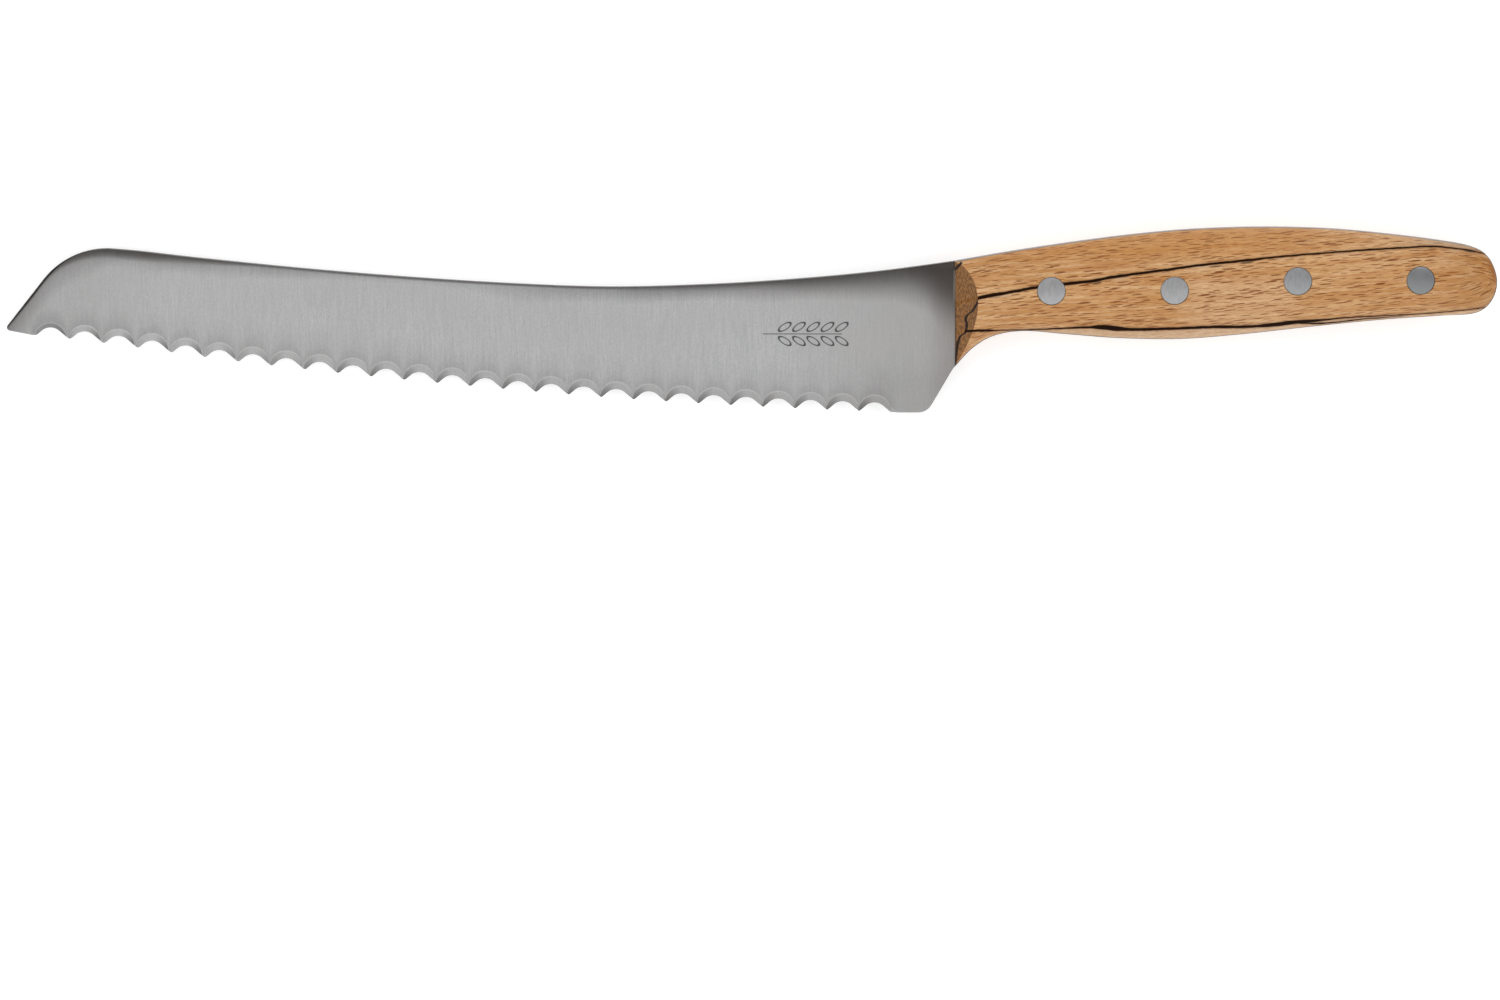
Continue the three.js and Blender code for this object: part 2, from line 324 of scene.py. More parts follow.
def columns():
    """X of every column of the blade's grid."""
    near_tip = LEFT + 0.02 + 1.2 * (1 - np.cos(np.linspace(0, math.pi / 2, 12)))
    tip = np.linspace(near_tip[-1], POINTS[0, 0], 10)[1:]
    even = np.linspace(0, 1, 29)[1:]
    share = 0.6 * even + 0.2 * (1 - np.cos(math.pi * even))
    scallops = [a + (b - a) * share for a, b in zip(POINTS[:-1, 0], POINTS[1:, 0])]
    flat = np.linspace(POINTS[-1, 0], HEEL_FLAT, 5)[1:]
    heel = np.linspace(HEEL_FLAT, -0.01, 40)[1:]
    tang = np.linspace(0.01, BUTT[0][0], 70)
    butt = BUTT[0][0] + (RIGHT - 0.02 - BUTT[0][0]) * np.sin(np.linspace(0, math.pi / 2, 30))[1:]
    return np.concatenate([near_tip, tip, *scallops, flat, heel, tang, butt])


# The faces turn away close to the spine: by these angles at the spine, from these distances below it.
fall_slope = smooth([(-220, 6), (-200, 6), (-165, 5), (-145, 5), (-70, 5), (-45, 4), (-20, 3.5), (0, 3.2)])
fall_width = smooth([
    (-220, 1.5), (-207, 1.9), (-202, 2.4), (-197, 2.7), (-186, 2.8), (-179, 2.3), (-170, 1.6), (-161, 1.0),
    (-145, 0.9), (-82, 0.9), (-59, 1.6), (-45, 2.3), (-36, 3.7), (-29, 4.4), (-22, 5.4), (-17, 6.1),
    (-12.7, 7.2), (-9, 8.6), (-5.8, 12), (-3.5, 15.5), (0, 18),
])


def fall_depth(x, y, top):
    """From 0 where the face is flat to 1 at the spine."""
    return np.clip(1 - (top - y) / fall_width(x), 0, 1)


# How the painted shade fades over the part that falls away: evenly at 1, later and faster above it.
shade_power = smooth([(-220, 2), (-187, 2), (-181, 1.5), (-36, 1.4), (-12, 1.3), (-4, 1.1), (0, 1)])
# The painted shade under the spine, a haze: where, how dark at the spine, and how far below the spine it
# reaches.
HAZE = [
    (-220, 0.6, 6.5), (-201, 0.55, 6.5), (-196, 0.75, 4.6), (-191, 0.5, 4.8), (-187, 0.5, 5.5),
    (-181, 0.7, 4.2), (-175, 0.6, 4.4), (-168, 0.45, 4.2), (-161, 0.55, 3.6), (-152, 0.55, 2.9),
    (-143, 0.45, 2.1), (-133, 0.35, 1.9), (-124, 0.2, 1.9), (-117, 0.3, 2.0), (-110, 0.3, 2.6),
    (-101, 0.35, 4.6), (-92, 0.5, 4.2), (-82, 0.55, 3.8), (-73, 0.8, 4.3), (-64, 0.85, 3.9),
    (-54, 0.85, 4.0), (-45, 0.8, 5.2), (-36, 0.95, 5.3), (-27, 1.0, 6.0), (-20, 1.0, 7.0),
    (-12, 1.0, 8.5), (0, 1.0, 16.0),
]
haze_strength = smooth([(x, strength) for x, strength, _ in HAZE])
haze_reach = smooth([(x, reach) for x, _, reach in HAZE])


def spine_shade(x, y, top):
    """How much painted shade the steel gets: most at the spine, with a haze that reaches further down."""
    core = 1 - (1 - fall_depth(x, y, top)) ** shade_power(x)
    haze = haze_strength(x) * np.clip(1 - (top - y) / haze_reach(x), 0, 1)
    return np.maximum(core, haze) * (x < 0)


def blade_face(x, y, top):
    """Height of a blade face: flat, falling away close to the spine."""
    drop = np.radians(fall_slope(x)) * fall_width(x) / 2 * fall_depth(x, y, top) ** 2
    return np.where(x < 0, ground_plane(x, y) - drop, STEEL / 2)


def paint(piece, name, values):
    """Keeps one number per vertex for a material to read."""
    layer = piece.data.attributes.new(name, "FLOAT", "POINT")
    layer.data.foreach_set("value", np.asarray(values, float).ravel())


# Height of the painted shade along the nose's edge, and where along x it fades out.
nose_edge = smooth([
    (-220.3, 0.3), (-218.5, 0.7), (-215, 1.1), (-210.5, 1.0), (-207, 0.5), (-203, 0.2), (-196, 0.1),
])
NOSE_END, NOSE_FADE = -190, 14
FLANK_TURN, FLANK_CHANGE = -175, 30  # where the dark flank changes sides, and over what length


def flank_shade(x):
    """How much painted shade each part of a bevel gets: right of its middle near the tip, left of it further
    on.
    """
    nearest = from_middles(x).argmin(1)
    across = (x - MIDDLES[nearest, 0]) / (PITCH_AT_HEEL / 2)
    left = np.clip((x - FLANK_TURN) / FLANK_CHANGE, 0, 1)
    return left * np.clip(-across - 0.1, 0, 0.8) / 0.8 + (1 - left) * np.clip(across - 0.1, 0, 0.8) / 0.8


def build_blade():
    x = columns()
    top, base = top_at(x), bottom_at(x)
    scalloped = (x >= POINTS[0, 0] - WHEEL_RUN_OUT) & (x <= POINTS[-1, 0] + WHEEL_RUN_OUT)
    cut = np.where(scalloped, wheel(x), base - 9)  # far below the edge where no wheel came
    edge = np.where(scalloped, (base + cut + np.hypot(base - cut, POINT_SOFTNESS)) / 2, base)
    edge = np.minimum(edge, top - 0.01)
    back = -(STEEL / 2 - EDGE_THINNING)
    band = np.maximum(arches(x), cut + POINT_RUN)
    lean = (band - cut) / (ground_plane(x, band) - back)
    room = top - edge
    band = np.clip(band, edge + np.minimum(0.25, room / 8), top - room / 4)
    fall = np.minimum(fall_width(x), (top - band) / 2)
    rim = np.minimum(SPINE_ROUND, (top - band) / 4)
    line = np.minimum(BEVEL_LINE, (top - band) / 20)

    # Heights of the rows, from the edge over the bevel, its painted highlight and the painted shade above it
    # to the spine.
    heights = [edge + (band - line - edge) * t for t in (0, 0.35, 0.7, 1)]
    heights += [band, band + line]
    for run, share in ((1.1, 0.2), (2.8, 0.4)):
        heights.append(band + np.minimum(run, (top - fall - band) * share))
    start = heights[-1]
    reach = np.clip(haze_reach(x), fall * 1.05, (top - start) * 0.7)
    heights += [start + (top - reach - start) * t for t in np.linspace(0, 1, 5)[1:]]
    heights += [top - reach + (reach - fall) * t for t in (0.33, 0.67)]
    heights += [top - rim - (fall - rim) * (1 - t) ** 1.3 for t in np.linspace(0, 1, 14)]

    def near(y):
        bevel = back + (y - cut) / lean
        return np.maximum(np.minimum(blade_face(x, y, top), bevel), CUTTING_EDGE - blade_face(x, y, top))

    over = []  # over the spine's rounding: height, and how far below the face
    for angle in np.linspace(0, math.pi / 2, 5)[1:]:
        over.append((top - rim + rim * math.sin(angle), rim * (1 - math.cos(angle))))
    shoulder = blade_face(x, top - rim, top)
    ring = [(y, near(y)) for y in heights] + [(y, shoulder - drop) for y, drop in over]
    ring += [(y, drop - shoulder) for y, drop in over[::-1]]
    ring += [(y, -blade_face(x, y, top)) for y in heights[::-1]]
    bm = bmesh.new()
    made = grid(bm, [[(x[i], y[i], z[i]) for y, z in ring] for i in range(len(x))], closed=True)
    bm.faces.new(made[0])
    bm.faces.new(made[-1][::-1])
    piece = mesh_from(bm, "blade", BLADE_SHARP)

    # What the steel's material reads at each vertex, among it painted shade and a painted highlight.
    painted_bevel_shade, painted_bevel_highlight, low = (np.zeros((len(x), len(ring))) for _ in range(3))
    between = (x >= POINTS[0, 0] - POINT_RUN) & (x <= POINTS[-1, 0] + POINT_RUN)
    shade = flank_shade(x)
    # painted shade on the bevels, darkest on one flank
    for row, dark in enumerate((0.5, 0.42, 0.28, 0.12)):
        painted_bevel_shade[between, row] = (BEVEL_SHADE + dark * shade)[between]
    # painted highlight along the top of each bevel
    painted_bevel_highlight[between, 4] = 1
    # painted shade on the face just above the bevels
    for row, dark in ((4, 1), (5, 1), (6, 0.8), (7, 0.35)):
        low[between, row] = dark
    # painted shade along the spine
    painted_spine_shade = np.stack([spine_shade(x, y, top) for y, _ in ring], 1)
    # painted shade along the edge of the nose
    on_nose = np.clip((NOSE_END - x) / NOSE_FADE, 0, 1)
    nose = np.stack([np.clip((1 - (top - y) / nose_edge(x)) / 0.4, 0, 1) * on_nose for y, _ in ring], 1)
    for name, values in (
        ("band", painted_bevel_shade), ("line", painted_bevel_highlight), ("low", low), ("fall", painted_spine_shade), ("nose", nose),
    ):
        paint(piece, name, values)
    hand_in(piece, "blade_with_tang", steel_material())


# ---- wood ----


def handle_form():
    """The whole handle's outer surface: elliptical sections, closed round the butt."""
    bm = bmesh.new()
    steps = 24  # per quarter of a section
    end = BUTT[0][0]
    angles = np.linspace(0, 2 * math.pi, 4 * steps, endpoint=False)
    rows = []
    for x in end * np.linspace(0, 1, 96) ** 1.15:
        middle, height = (top_at(x) + bottom_at(x)) / 2, (top_at(x) - bottom_at(x)) / 2
        y, z = middle + height * np.sin(angles), half_thickness(x) * np.cos(angles)
        rows.append([(x, *point) for point in zip(y, z)])
    made = grid(bm, rows, closed=True)
    bm.faces.new(made[0])
    rim = spline(BUTT, 10)
    pole = np.array((end, (BUTT[0][1] + BUTT[-1][1]) / 2))
    for side in (1, -1):
        out = np.sin(np.linspace(0, math.pi / 2, steps + 1))
        height = side * half_thickness(end) * np.cos(np.linspace(0, math.pi / 2, steps + 1))
        spokes = [[(*(pole + (point - pole) * r), z) for r, z in zip(out, height)] for point in rim]
        grid(bm, spokes)
    bmesh.ops.remove_doubles(bm, verts=bm.verts, dist=0.002)
    bmesh.ops.dissolve_degenerate(bm, edges=bm.edges, dist=0.0005)
    return bm


def cut_away(bm, point, normal):
    """Cuts off what lies on the normal's side of a plane, and closes the cut with one face."""
    geometry = bm.verts[:] + bm.edges[:] + bm.faces[:]
    made = bmesh.ops.bisect_plane(bm, geom=geometry, plane_co=point, plane_no=normal, clear_outer=True)
    edges = [e for e in made["geom_cut"] if isinstance(e, bmesh.types.BMEdge)]
    return bmesh.ops.contextual_create(bm, geom=edges)["faces"]


def drill(piece, radius, low, high):
    """Cuts a round hole at each rivet, between two heights in the knife's axes."""
    for x, y in RIVET_CENTRES:
        bm = bmesh.new()
        place = Matrix.Translation((x, y, (low + high) / 2))
        bmesh.ops.create_cone(
            bm, cap_ends=True, segments=96, radius1=radius, radius2=radius, depth=high - low, matrix=place
        )
        cutter = mesh_from(bm, "cutter")
        hole = piece.modifiers.new("hole", "BOOLEAN")
        hole.operation, hole.solver, hole.object = "DIFFERENCE", "EXACT", cutter
        bpy.context.view_layer.update()
        cut = bpy.data.meshes.new_from_object(piece.evaluated_get(bpy.context.evaluated_depsgraph_get()))
        piece.modifiers.clear()
        piece.data = cut
        bpy.data.objects.remove(cutter)


def build_scale(side, name, node, material):
    bm = handle_form()
    inner = STEEL / 2 + GLUE_LINE
    cut_away(bm, (0, 0, side * inner), (0, 0, -side))
    slanted = cut_away(bm, (0, 0, side * STEEL / 2), (-1, 0, side * FRONT_SLANT))
    rim = [edge for face in slanted for edge in face.edges]
    bmesh.ops.bevel(bm, geom=rim, offset=FRONT_ROUND, segments=2, affect="EDGES", profile=0.6)
    piece = mesh_from(bm, name)
    drill(piece, HOLE, *sorted((0, side * OUTSIDE)))
    drill(piece, HEAD + FIT, *sorted((side * SEAT, side * OUTSIDE)))
    piece.data.set_sharp_from_angle(angle=SHARP)
    hand_in(piece, node, material)


# ---- rivets ----


def build_rivet_half(centre, side, name, node, profile, material):
    """A turned piece with a head that follows the handle's crown.

    The profile gives a radius and a height for each ring, from the head's rim inwards.
    """
    bm = bmesh.new()
    angles = np.linspace(0, 2 * math.pi, 72, endpoint=False)
    circle = np.stack([np.cos(angles), np.sin(angles)])
    rows = []
    for radius in (*np.linspace(0.3, HEAD - CHAMFER_RUN, 10), HEAD):
        x, y = centre[0] + radius * circle[0], centre[1] + radius * circle[1]
        chamfer = CHAMFER_DROP if radius == HEAD else 0
        rows.append([(a, b, side * (c - chamfer)) for a, b, c in zip(x, y, crown(x, y))])
    for radius, z in profile:
        x, y = centre[0] + radius * circle[0], centre[1] + radius * circle[1]
        rows.append([(a, b, side * z) for a, b in zip(x, y)])
    made = grid(bm, rows, closed=True)
    bm.faces.new(made[0])
    bm.faces.new(made[-1][::-1])
    piece = mesh_from(bm, name)
    hand_in(piece, node, material)


# ---- materials ----


def linear(red, green, blue):
    """A colour given in display values from 0 to 255."""
    shares = [value / 255 for value in (red, green, blue)]
    return (*(((v + 0.055) / 1.055) ** 2.4 if v > 0.0404 else v / 12.92 for v in shares), 1)


class Graph:
    """A material's nodes. Coordinates are the knife's own axes, in mm."""

    def __init__(self, name, **constants):
        self.material = bpy.data.materials.new(name)
        self.material.use_nodes = True
        self.tree = self.material.node_tree
        self.shader = self.tree.nodes["Principled BSDF"]
        for key, value in constants.items():
            self.shader.inputs[key.replace("_", " ")].default_value = value
        place = self.tree.nodes.new("ShaderNodeTexCoord")
        place.object = knife_axes
        self.place = place.outputs["Object"]

    def node(self, kind, *values, **settings):
        node = self.tree.nodes.new("ShaderNode" + kind)
        for key, value in settings.items():
            setattr(node, key, value)
        for socket, value in zip(node.inputs, values):
            self.put(socket, value)
        return node

    def put(self, socket, value):
        if isinstance(value, bpy.types.NodeSocket):
            self.tree.links.new(value, socket)
        elif value is not None:
            socket.default_value = value

    def math(self, operation, *values):
        return self.node("Math", *values, operation=operation).outputs[0]

    def painted(self, name):
        return self.node("Attribute", attribute_name=name).outputs["Fac"]

    def split(self):
        return self.node("SeparateXYZ", self.place).outputs

    def join(self, x, y, z):
        return self.node("CombineXYZ", x, y, z).outputs[0]

    def noise(self, vector, scale=1.0, detail=2.0, roughness=0.5):
        node = self.node("TexNoise")
        values = {"Vector": vector, "Scale": scale, "Detail": detail, "Roughness": roughness}
        for key, value in values.items():
            self.put(node.inputs[key], value)
        return node.outputs["Fac"]

    def stretched(self, a, b, c, **how):
        """Noise over the knife's axes, each times its own number."""
        axes = (self.math("MULTIPLY", axis, times) for axis, times in zip(self.split(), (a, b, c)))
        return self.noise(self.join(*axes), **how)

    def step(self, value, low, high, start=0.0, end=1.0):
        """From start to end as the value goes smoothly from low to high."""
        node = self.node("MapRange", interpolation_type="SMOOTHSTEP")
        for socket, number in zip(node.inputs, (value, low, high, start, end)):
            self.put(socket, number)
        return node.outputs[0]

    def product(self, *values):
        result = values[0]
        for value in values[1:]:
            result = self.math("MULTIPLY", result, value)
        return result

    def length(self, one, two):
        squares = self.math("ADD", self.math("POWER", one, 2), self.math("POWER", two, 2))
        return self.math("SQRT", squares)

    def between(self, value, low, high):
        return self.product(self.math("GREATER_THAN", value, low), self.math("LESS_THAN", value, high))

    def mix(self, factor, one, two):
        node = self.node("Mix", data_type="RGBA")
        for name, value in {"Factor": factor, "A": one, "B": two}.items():
            sockets = [s for s in node.inputs if s.name == name and (name == "Factor" or s.type == "RGBA")]
            self.put(sockets[0], value)
        return next(s for s in node.outputs if s.type == "RGBA")

    def curve(self, value, points, low, high):
        """A smooth height over the value through a few points, all in mm."""
        first, last = points[0][0], points[-1][0]
        node = self.node("FloatCurve")
        line = node.mapping.curves[0]
        while len(line.points) < len(points):
            line.points.new(0.5, 0.5)
        for point, (x, y) in zip(line.points, points):
            point.location = ((x - first) / (last - first), (y - low) / (high - low))
        node.mapping.update()
        share = self.math("DIVIDE", self.math("SUBTRACT", value, first), last - first)
        self.put(node.inputs["Value"], share)
        return self.math("MULTIPLY_ADD", node.outputs[0], high - low, low)

    def tinted(self, colour, *tints):
        """Mixes one colour after the other over the first, each by its factor."""
        for factor, tint in tints:
            colour = self.mix(factor, colour, tint)
        return colour

    def lines_across(self):
        """The finish is brushed across the knife, so highlights spread along it."""
        tangent = self.node("Tangent", direction_type="UV_MAP", uv_map="flat")
        self.put(self.shader.inputs["Tangent"], tangent.outputs[0])

    def finish(self, colour, roughness=None, height=None, distance=0.01):
        """Connects the shader; the relief's height goes from 0 to the distance, in mm."""
        self.put(self.shader.inputs["Base Color"], colour)
        if roughness is not None:
            self.put(self.shader.inputs["Roughness"], roughness)
        if height is not None:
            bump = self.node("Bump")
            self.put(bump.inputs["Height"], height)
            bump.inputs["Distance"].default_value = distance * MM
            self.put(self.shader.inputs["Normal"], bump.outputs[0])
        return self.material


EAR_AT = (-34.5, -11.3)  # middle of the etched ear of wheat
EAR_GRAINS = (-6.6, 9.9)  # run of the grains along the stem
EAR_STEM = (-10, 8.3)
GRAIN_PITCH = 3.3
GRAIN_LENGTH, GRAIN_WIDTH, GRAIN_TURN = 1.9, 0.78, math.radians(33)
GRAIN_OFFSET = 1.65  # from the stem to the middle of a grain
GRAIN_RING = 0.85  # where a grain's line runs, as a share of its size
ETCH_DEPTH, ETCH_ROUGHNESS = 0.85, 0.3  # how dark the lines are, and how much rougher than the steel


def wheat_ear(g, x, y, z):
    """An etched ear of wheat in thin lines: 1 on its lines, 0 elsewhere."""
    along = g.math("SUBTRACT", x, EAR_AT[0])
    across = g.math("ABSOLUTE", g.math("SUBTRACT", y, EAR_AT[1]))
    cell = g.math("MULTIPLY", g.math("FRACT", g.math("DIVIDE", along, GRAIN_PITCH)), GRAIN_PITCH)
    u, v = g.math("SUBTRACT", cell, GRAIN_PITCH / 2), g.math("SUBTRACT", across, GRAIN_OFFSET)
    cos, sin = math.cos(GRAIN_TURN), math.sin(GRAIN_TURN)
    long_way = g.math("MULTIPLY_ADD", v, sin / GRAIN_LENGTH, g.math("MULTIPLY", u, cos / GRAIN_LENGTH))
    short_way = g.math("MULTIPLY_ADD", u, -sin / GRAIN_WIDTH, g.math("MULTIPLY", v, cos / GRAIN_WIDTH))
    ring = g.math("SUBTRACT", g.length(long_way, short_way), GRAIN_RING)
    grains = g.product(g.step(g.math("ABSOLUTE", ring), 0.08, 0.2, 1, 0), g.between(along, *EAR_GRAINS))
    stem = g.product(g.step(across, 0.06, 0.13, 1, 0), g.between(along, *EAR_STEM))
    return g.product(g.math("MAXIMUM", grains, stem), g.math("GREATER_THAN", z, 0))


STEEL_DARK, STEEL_LIGHT = linear(165, 165, 166), linear(189, 189, 190)  # between and on the lines
STEEL_WARM = linear(174, 170, 166)
# painted shade: the steel grows darker over the last 50 mm before the handle
STEEL_SHADE_BY_HANDLE = linear(160, 158, 156)
# painted shade: the steel darker towards the tip, and darker still at the very tip
STEEL_SHADE_BY_TIP, STEEL_SHADE_AT_TIP = linear(140, 139, 137), linear(120, 119, 117)
# painted shade over the heel
STEEL_SHADE_AT_HEEL = linear(120, 119, 117)
# painted shade on the face just above the bevels
STEEL_SHADE_OVER_BEVEL = linear(104, 101, 99)
# painted shade on the bevels' flanks, and a painted highlight along their tops
BEVEL_FLANK_SHADE, BEVEL_EDGE_HIGHLIGHT = linear(80, 77, 74), linear(230, 229, 227)
# painted shade along the spine
SPINE_SHADE_COLOUR = linear(84, 80, 77)
# painted shade along the edge of the nose
NOSE_EDGE_SHADE = linear(50, 47, 45)
# painted shade by the wood and in the corner at the spine, and a painted glint
STEEL_SHADE_BY_WOOD, CORNER_SHADE, GLINT = linear(112, 100, 92), linear(52, 42, 37), linear(225, 222, 218)
# the steel is darker over the tang
TANG_DARKER = linear(100, 96, 92)
ETCHED = linear(70, 69, 68)


def steel_material():
    """Satin steel, ground across the blade: fine lines from edge to spine, under painted shade, painted
    highlights and a painted glint.
    """
    g = Graph("cross_ground_steel", Metallic=1.0, Anisotropic=0.8)
    x, y, z = g.split()
    fine = g.stretched(4.5, 0.16, 1.0, detail=3.0, roughness=0.7)
    grit = g.stretched(5.0, 2.0, 1.0)
    broad = g.stretched(0.06, 0.1, 1.0)
    long_lines = g.stretched(4.5, 0.05, 1.0, detail=3.0, roughness=0.7)
    lines = g.math("MULTIPLY_ADD", grit, 0.45, g.math("MULTIPLY", fine, 0.55))
    on_blade = g.math("LESS_THAN", x, 0.0)
    # painted shade over the heel, low on the blade near the handle
    heel = g.product(g.step(x, -30, -12, 0, 0.18), g.step(y, -14, -24))
    # painted shade on the steel next to the wood
    shade_by_wood = g.product(g.step(x, -8, -0.3, 0, 0.4), on_blade, g.step(y, -14, -4, 0.8, 1))
    # painted shade in the corner where the spine meets the wood
    corner = g.product(g.step(y, -13, 0), g.step(y, 5.5, 3.4, 0.3, 1))  # where the spine meets the wood
    corner = g.product(corner, g.step(g.math("ADD", x, y), -12, -1, 0, 0.5), on_blade)
    glint = g.product(g.between(x, -0.4, 0.0), g.step(y, -6, 0), g.step(y, 4, 3))
    etch = wheat_ear(g, x, y, z)
    colour = g.tinted(
        g.mix(g.step(lines, 0.3, 0.7), STEEL_DARK, STEEL_LIGHT),
        (g.step(broad, 0.35, 0.65, 0, 0.2), STEEL_WARM),
        # painted shade towards the handle
        (g.step(x, -50, 0, 0, 0.6), STEEL_SHADE_BY_HANDLE),
        # painted shade towards the tip, and more at the very tip
        (g.step(x, -224, -176, 0.35, 0), STEEL_SHADE_BY_TIP),
        (g.step(x, -221, -208, 0.25, 0), STEEL_SHADE_AT_TIP),
        (heel, STEEL_SHADE_AT_HEEL),
        # painted shade above the bevels
        (g.product(g.painted("low"), 0.28), STEEL_SHADE_OVER_BEVEL),
        # painted shade on the bevels
        (g.painted("band"), BEVEL_FLANK_SHADE),
        # painted highlight along the top of each bevel
        (g.product(g.painted("line"), 0.3), BEVEL_EDGE_HIGHLIGHT),
        # painted shade along the spine
        (g.product(g.painted("fall"), 0.85), SPINE_SHADE_COLOUR),
        # painted shade next to the wood
        (shade_by_wood, STEEL_SHADE_BY_WOOD),
        # painted shade in the corner at the spine
        (corner, CORNER_SHADE),
        (g.product(glint, 0.2), GLINT),
        # painted shade along the nose's edge
        (g.product(g.painted("nose"), 0.9), NOSE_EDGE_SHADE),
        (g.step(x, 0.0, 0.5, 0, 0.6), TANG_DARKER),
        (g.product(etch, ETCH_DEPTH), ETCHED),
    )
    rough = g.math("MULTIPLY_ADD", etch, ETCH_ROUGHNESS, g.step(fine, 0.25, 0.75, 0.3, 0.36))
    g.lines_across()
    return g.finish(colour, rough, long_lines, distance=0.006)


RIVET_DARK, RIVET_LIGHT = linear(160, 160, 161), linear(177, 177, 178)
# painted shade: the rivets darker towards the butt
RIVET_SHADE_BY_BUTT = linear(122, 125, 126)


def rivet_material():
    """Brushed rivets, with painted shade that darkens them towards the butt."""
    g = Graph("brushed_rivet", Metallic=1.0, Anisotropic=0.3)
    x, _, _ = g.split()
    fine = g.stretched(4.5, 0.5, 1.0, detail=3.0, roughness=0.6)
    colour = g.tinted(
        g.mix(g.step(fine, 0.3, 0.7), RIVET_DARK, RIVET_LIGHT),
        # painted shade towards the butt
        (g.step(x, 60, 112, 0, 0.75), RIVET_SHADE_BY_BUTT),
    )
    g.lines_across()
    return g.finish(colour, g.step(fine, 0.25, 0.75, 0.45, 0.55), fine, distance=0.01)


# The dark layers in the spalted wood, as lines along the handle at the middle of its thickness. They lean, so
# they come out higher on the ground side, by LAYER_LEAN for each mm away from the middle.
LAYER_LEAN = 0.105
UPPER_LAYER = [
    (0, -4.4), (5, -3.07), (8.1, -2.41), (12.7, -1.62), (17.4, -0.73), (22, -0.05), (27.8, 0.56),
    (31.3, 0.95), (34.7, 1.62), (38.2, 2.19), (47.5, 3.41), (56.7, 4.68), (66, 5.65), (75.3, 6.65),
    (84.5, 7.4), (93.8, 8.12), (103, 8.65), (110.5, 8.98), (114.6, 8.6), (118.3, 8.15), (126, 6.3),
]
UPPER_WIDTH = [
    (0, 0.42), (8, 0.42), (12, 0.36), (33, 0.34), (42, 0.3), (66, 0.28), (74, 0.22), (110, 0.2), (126, 0.1),
]
LOWER_LAYER = [
    (0, -11), (4.2, -10.6), (8.3, -10.55), (20.4, -10.25), (28.9, -9.85), (33.6, -9.79), (38.2, -10.18),
    (41, -10.3), (49.8, -10.1), (59.1, -9.73), (68.3, -9.6), (73, -9.15), (77.6, -8.63), (84.5, -8.13),
    (90, -7.6), (98.4, -7.15), (110.5, -6.45), (121.6, -5.3), (126, -4.6),
]
LOWER_WIDTH = [
    (0, 0.28), (7, 0.26), (11, 0.12), (20, 0.14), (25, 0.2), (31, 0.27), (35.9, 0.6), (38.2, 0.5), (42, 0.34),
    (66, 0.34), (73, 0.36), (79.9, 0.4), (85, 0.22), (91, 0.15), (126, 0.12),
]
# A third layer runs beside the lower one, and is there only where its width is over 0.
BRANCH_LAYER = [(66, -9.8), (73.6, -9.5), (79, -8.85), (84.5, -8.9), (94.3, -7.9), (103, -7.2), (108, -6.4)]
BRANCH_WIDTH = [(64, -0.2), (70, 0.1), (80, 0.2), (95, 0.13), (103, 0.06), (108, -0.2)]
# The crooked layer on the handle's front: its place across the handle, and how far back it is there.
FRONT_CRACK = [
    (-18.6, 0), (-15.5, 0.35), (-12.2, 1.04), (-10.75, 2.4), (-9.3, 2.64), (-7.9, 2.4), (-5.95, 3.9),
    (-4.54, 4.77), (-3.47, 5.3), (-2.4, 5.6),
]
# Smudges under the upper layer: where along it, half their length, how far below it, half their height.
SMUDGES = [(32.6, 1.3, 0.75, 0.3), (67.1, 1.9, 0.55, 0.3), (59.8, 2.0, 0.7, 0.25), (118.8, 1.8, 0.1, 0.45)]
# A short straight crack at the top of the front: its middle, the way across it, and half its length.
SHORT_CRACK = {"middle": (0.6, 4.35), "normal": (0.734, -0.679), "half": 1.0}
# The lowest and highest value that each kind of curve can take, mm.
LAYER_RANGE = (-12, 12)
WIDTH_RANGE = (-0.2, 0.8)
CRACK_RANGE = (0, 6)
THICKNESS_RANGE = (0, 12)
HANDLE_MIDDLE = [
    (x, float(top_at(x) + bottom_at(x)) / 2) for x in (0, 4, 9, 16, 26, 40, 54, 70, 86, 112, 124)
]
GRAIN_TILT = math.radians(3.5)  # the grain rises to the butt
ROW_SHIFT = 0.382  # each row of dashes starts this share of a cell beside the last
ROW_WANDER, WANDER_SCALE = 0.8, 0.09  # how many rows the rows sway by, and how often per mm


def dark_layer(g, level, x, heights, widths, ragged):
    """How far a point is outside a dark layer, negative inside it."""
    off = g.math("ADD", g.math("SUBTRACT", level, g.curve(x, heights, *LAYER_RANGE)), ragged)
    return g.math("SUBTRACT", g.math("ABSOLUTE", off), g.curve(x, widths, *WIDTH_RANGE))


